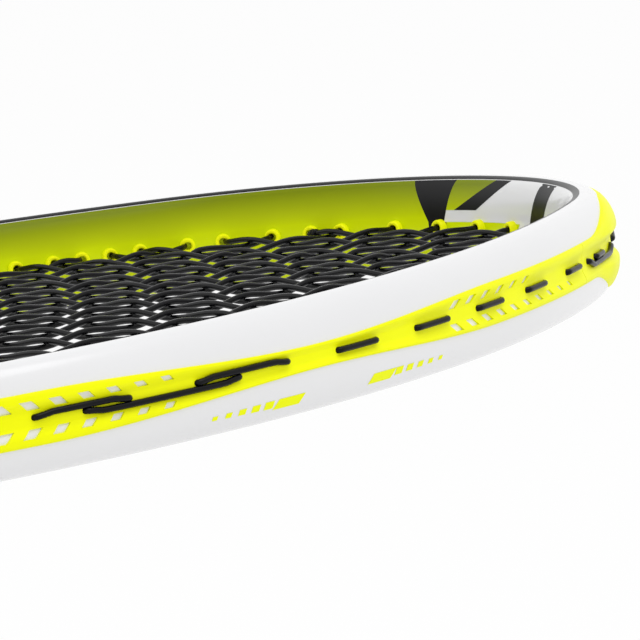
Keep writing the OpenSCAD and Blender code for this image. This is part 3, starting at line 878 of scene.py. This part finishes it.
def main_half(side):
    """Points of one side's mains, from the outermost one's knot to the middle."""
    path = main_run(main_n - 1, side)[::-1]
    for i in range(main_n - 1, 0, -1):
        at_foot = (main_n - 1 - i) % 2 == 0
        hole = main_foot if at_foot else main_tip
        lift = 0.0 if i <= (2 if at_foot else 1) else -1.16
        loop = outside(hole(i), hole(i - 1), lift)
        path += [tuple(p) for p in (loop if side > 0 else mirrored(loop))]
        run = main_run(i - 1, side)
        path += run if at_foot else run[::-1]
    return path


def build_main_string():
    first = main_foot(0)
    middle = bridge_place(np.linspace(first.where, math.pi - first.where, 8), BRIDGE_STRING_U, 0.0)
    link = [tuple(first.mouth), tuple(first.at(-1.0)), *[tuple(p) for p in middle],
            tuple(mirrored(first.at(-1.0))), tuple(mirrored(first.mouth))]
    path = main_half(1) + link + main_half(-1)[::-1]
    parts = [tube(rounded_path(path), STRING_D)]
    for side in (1, -1):
        start = main_tip(main_n - 1).mouth * [side, 1, 1]
        parts.append(knot(start, (0, -1, 0)))
    shown("mains", *together(parts), string_black, "string_black", ["main_string"], sharp=80)


# --- Handle --------------------------------------------------------------------------------------
def section_ring(w, h, y, n=96, e=SECTION_E):
    section = oval(w, h, n, e)
    return np.stack([section[:, 0], np.full(n, y), section[:, 1]], -1)


def build_grip():
    """A padded band wound up the handle, whose edges meet in a sunken seam."""
    low, high = node_box("grip_wrap")
    w, h = high[0] - low[0], high[2] - low[2]
    n = 120
    base = oval(w, h, n)
    normal = np.stack([base[:, 0] / (w / 2) ** 2, base[:, 1] / (h / 2) ** 2], -1)
    normal /= np.linalg.norm(normal, axis=1)[:, None]
    turn = np.unwrap(np.arctan2(base[:, 1] / h, base[:, 0] / w)) / (2 * math.pi)
    rings = []
    for y in stations(low[1], high[1], 0.5):
        phase = ((y - low[1]) / GRIP_PITCH - turn) % 1.0
        edge = np.minimum(phase, 1 - phase) * GRIP_PITCH
        seam = 0.75 * np.exp(-((edge / 0.75) ** 2)) + 0.35 * np.exp(-((edge / 2.4) ** 2))
        rib = 0.16 * np.exp(-(((np.abs(phase - 0.5) * GRIP_PITCH - 4.2) / 0.5) ** 2))
        start = 0.9 * (1 - ease((y - low[1]) / 1.2)) + 1.1 * (1 - ease((high[1] - y) / 1.5))
        section = base - normal * (seam + rib + start)[:, None]
        rings.append(np.stack([section[:, 0], np.full(n, y), section[:, 1]], -1))
    shown("grip_band", *turned(loft(rings)), grip_black, "grip_black", ["grip_wrap"], sharp=60)


def build_butt():
    low, high = node_box("butt_cap")
    badge_low, badge_high = node_box("butt_badge")
    w, h = high[0] - low[0], high[2] - low[2]
    grip_low, grip_high = node_box("grip_wrap")
    top = grip_low[1] - 0.05
    n = 96
    badge_r = (badge_high[0] - badge_low[0]) / 2
    seat_r = badge_r + 0.1
    circle = section_ring(2 * seat_r, 2 * seat_r, 0.0, n, 2.0)
    face = section_ring(w - 3.4, h - 3.4, 0.0, n)
    rings = [circle + [0, badge_high[1] + 0.05, 0] * np.ones((n, 1)), circle]
    rings += [circle + (face - circle) * t for t in (0.35,)]
    for t, depth in ((0.42, 0.35), (0.5, 0.35), (0.57, 0.0), (1.0, 0.0)):
        rings.append(circle + (face - circle) * t + [0, depth, 0])
    for shrink, y in ((2.2, 0.18), (1.2, 0.6), (0.45, 1.4), (0.08, 2.4), (0.0, 3.4), (0.0, 4.6),
                      (0.3, 5.6), (0.9, 6.4), (1.7, 7.0), (2.4, 7.6), (2.7, top)):
        rings.append(section_ring(w - shrink, h - shrink, y, n))
    rings.append(section_ring(w - 8, h - 8, top, n))
    rings.append(section_ring(w - 8, h - 8, badge_high[1] + 0.05, n))
    shown("butt_cap_skin", *turned(loft(rings, closed=True)), cap_black, "cap_black", ["butt_cap"])
    rings = []
    for inset, y in ((0.0, badge_high[1]), (0.0, badge_low[1] + 0.25), (0.08, badge_low[1] + 0.08),
                     (0.28, badge_low[1]), (1.5, badge_low[1]), (1.7, badge_low[1] + 0.14),
                     (2.2, badge_low[1] + 0.18), (badge_r - 0.1, badge_low[1] + 0.18)):
        r = 2 * (badge_r - inset)
        rings.append(section_ring(r, r, y, 64, 2.0))
    shown("butt_badge_disc", *loft(rings), badge_black, "badge_black", ["butt_badge"])


def sleeve(name, node, profile, material, slot):
    """A sleeve round the handle. profile is [how far in from the node's outside, share of length]."""
    low, high = node_box(node)
    w, h = high[0] - low[0], high[2] - low[2]
    rings = []
    for inset, share in profile:
        y = low[1] + (high[1] - low[1]) * share
        rings.append(section_ring(w - 2 * inset, h - 2 * inset, y))
    shown(name, *turned(loft(rings, closed=True)), material, slot, [node])


def build_collar():
    sleeve("rubber_collar_skin", "rubber_collar", [
        (1.9, 0.0), (0.9, 0.0), (0.35, 0.03), (0.05, 0.09), (0.0, 0.16), (0.0, 0.26), (0.4, 0.29),
        (0.4, 0.33), (0.0, 0.36), (0.05, 0.46), (0.45, 0.49), (0.45, 0.53), (0.1, 0.56),
        (0.25, 0.68), (0.65, 0.71), (0.65, 0.75), (0.4, 0.78), (0.8, 0.9), (1.3, 0.97), (2.0, 1.0),
        (7.0, 1.0), (7.6, 0.92), (7.6, 0.6), (1.9, 0.55),
    ], collar_black, "collar_black")
    sleeve("finishing_tape_skin", "finishing_tape", [
        (0.42, 0.0), (0.1, 0.0), (0.0, 0.02), (0.0, 0.98), (0.1, 1.0), (0.42, 1.0),
    ], tape_black, "tape_black")


# --- Stage, light and camera ---------------------------------------------------------------------
def lit_background(strength_seen, colour_lit, strength_lit):
    """White where the camera, a gloss or a clear thing sees it, and a plain light elsewhere."""
    world = bpy.data.worlds.new("studio")
    bpy.context.scene.world = world
    world.use_nodes = True
    nodes, links = world.node_tree.nodes, world.node_tree.links
    seen = nodes["Background"]
    seen.inputs["Color"].default_value = (1, 1, 1, 1)
    seen.inputs["Strength"].default_value = strength_seen
    light = nodes.new("ShaderNodeBackground")
    light.inputs["Color"].default_value = (*colour_lit, 1)
    light.inputs["Strength"].default_value = strength_lit
    rays = nodes.new("ShaderNodeLightPath")
    either = nodes.new("ShaderNodeMath")
    either.operation = "MAXIMUM"
    both = nodes.new("ShaderNodeMath")
    both.operation = "MAXIMUM"
    links.new(rays.outputs["Is Camera Ray"], either.inputs[0])
    links.new(rays.outputs["Is Glossy Ray"], either.inputs[1])
    links.new(either.outputs[0], both.inputs[0])
    links.new(rays.outputs["Is Transmission Ray"], both.inputs[1])
    mix = nodes.new("ShaderNodeMixShader")
    links.new(both.outputs[0], mix.inputs["Fac"])
    links.new(light.outputs[0], mix.inputs[1])
    links.new(seen.outputs[0], mix.inputs[2])
    links.new(mix.outputs[0], nodes["World Output"].inputs["Surface"])


def build_floor():
    """A pale floor well below the racket; the camera sees it almost white, with its shadow."""
    half, depth = 6.0, 0.12
    centre = (cad_low[1] + cad_high[1]) / 2
    mesh = bpy.data.meshes.new("floor")
    mesh.from_pydata([(-half, centre - half, -depth), (half, centre - half, -depth),
                      (half, centre + half, -depth), (-half, centre + half, -depth)],
                     [], [(0, 1, 2, 3)])
    floor = bpy.data.objects.new("floor", mesh)
    bpy.context.scene.collection.objects.link(floor)
    mat = bpy.data.materials.new("floor_white")
    mat.use_nodes = True
    nodes, links = mat.node_tree.nodes, mat.node_tree.links
    paper = nodes["Principled BSDF"]
    paper.inputs["Base Color"].default_value = (0.9, 0.9, 0.9, 1)
    paper.inputs["Roughness"].default_value = 0.9
    paper.inputs["Specular IOR Level"].default_value = 0.0
    glow = nodes.new("ShaderNodeEmission")
    glow.inputs["Strength"].default_value = 1.0
    rays = nodes.new("ShaderNodeLightPath")
    either = nodes.new("ShaderNodeMath")
    either.operation = "MAXIMUM"
    share = nodes.new("ShaderNodeMath")
    share.operation = "MULTIPLY"
    share.inputs[1].default_value = 0.92
    links.new(rays.outputs["Is Camera Ray"], either.inputs[0])
    links.new(rays.outputs["Is Glossy Ray"], either.inputs[1])
    links.new(either.outputs[0], share.inputs[0])
    mix = nodes.new("ShaderNodeMixShader")
    links.new(share.outputs[0], mix.inputs["Fac"])
    links.new(paper.outputs[0], mix.inputs[1])
    links.new(glow.outputs[0], mix.inputs[2])
    links.new(mix.outputs[0], nodes["Material Output"].inputs["Surface"])
    mesh.materials.append(mat)


def area_light(name, position, aim, size, power):
    lamp = bpy.data.lights.new(name, "AREA")
    lamp.shape = "DISK"
    lamp.size = size
    lamp.energy = power
    holder = bpy.data.objects.new(name, lamp)
    holder.location = position
    towards = (aim[0] - position[0], aim[1] - position[1], aim[2] - position[2])
    from mathutils import Vector

    holder.rotation_mode = "QUATERNION"
    holder.rotation_quaternion = Vector(towards).to_track_quat("-Z", "Y")
    bpy.context.scene.collection.objects.link(holder)


def build_camera():
    """A long lens low over the right side of the head, a little tilted, that looks to the tip."""
    azimuth, elevation, roll = (math.radians(a) for a in (-47.05, 7.15, 6.42))
    aim = np.array([70.56, head_cy + 55.09, 0.0])
    distance, lens = 1165.9, 358.73
    forward = np.array([math.sin(azimuth) * math.cos(elevation),
                        math.cos(azimuth) * math.cos(elevation), -math.sin(elevation)])
    right = np.array([math.cos(azimuth), -math.sin(azimuth), 0.0])
    down = np.cross(forward, right)
    tilted = math.cos(roll) * right + math.sin(roll) * down
    upright = math.sin(roll) * right - math.cos(roll) * down
    data = bpy.data.cameras.new("camera")
    data.lens = lens
    data.sensor_width = 36.0
    data.clip_start, data.clip_end = 0.05, 50.0
    camera = bpy.data.objects.new("camera", data)
    turn = Matrix([tilted.tolist(), upright.tolist(), (-forward).tolist()]).transposed()
    camera.matrix_world = Matrix.Translation(((aim - forward * distance) * MM).tolist()) @ turn.to_4x4()
    bpy.context.scene.collection.objects.link(camera)
    bpy.context.scene.camera = camera


# --- The racket ----------------------------------------------------------------------------------
build_frame()
build_inner_paint()
build_edge_shade_lines()
build_dashes()
build_strips()
build_barrels()
build_cross_string()
build_main_string()
build_grip()
build_butt()
build_collar()

for node, finish in {
    "handle_shell_upper": foam_grey,
    "handle_shell_lower": foam_grey,
    "grip_underlay": underlay_tape,
    "butt_staples": staple_steel,
}.items():
    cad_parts[node].data.materials.clear()
    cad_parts[node].data.materials.append(finish)

lit_background(1.0, (1.0, 1.0, 1.0), 0.8)
build_floor()
head = (0.0, head_cy * MM, 0.0)
area_light("key", (0.9, head[1] + 0.2, 1.5), head, 1.4, 9.0)
area_light("fill", (-1.2, head[1] - 0.9, 1.0), head, 1.6, 4.0)
build_camera()
bpy.context.scene.view_settings.view_transform = "Standard"
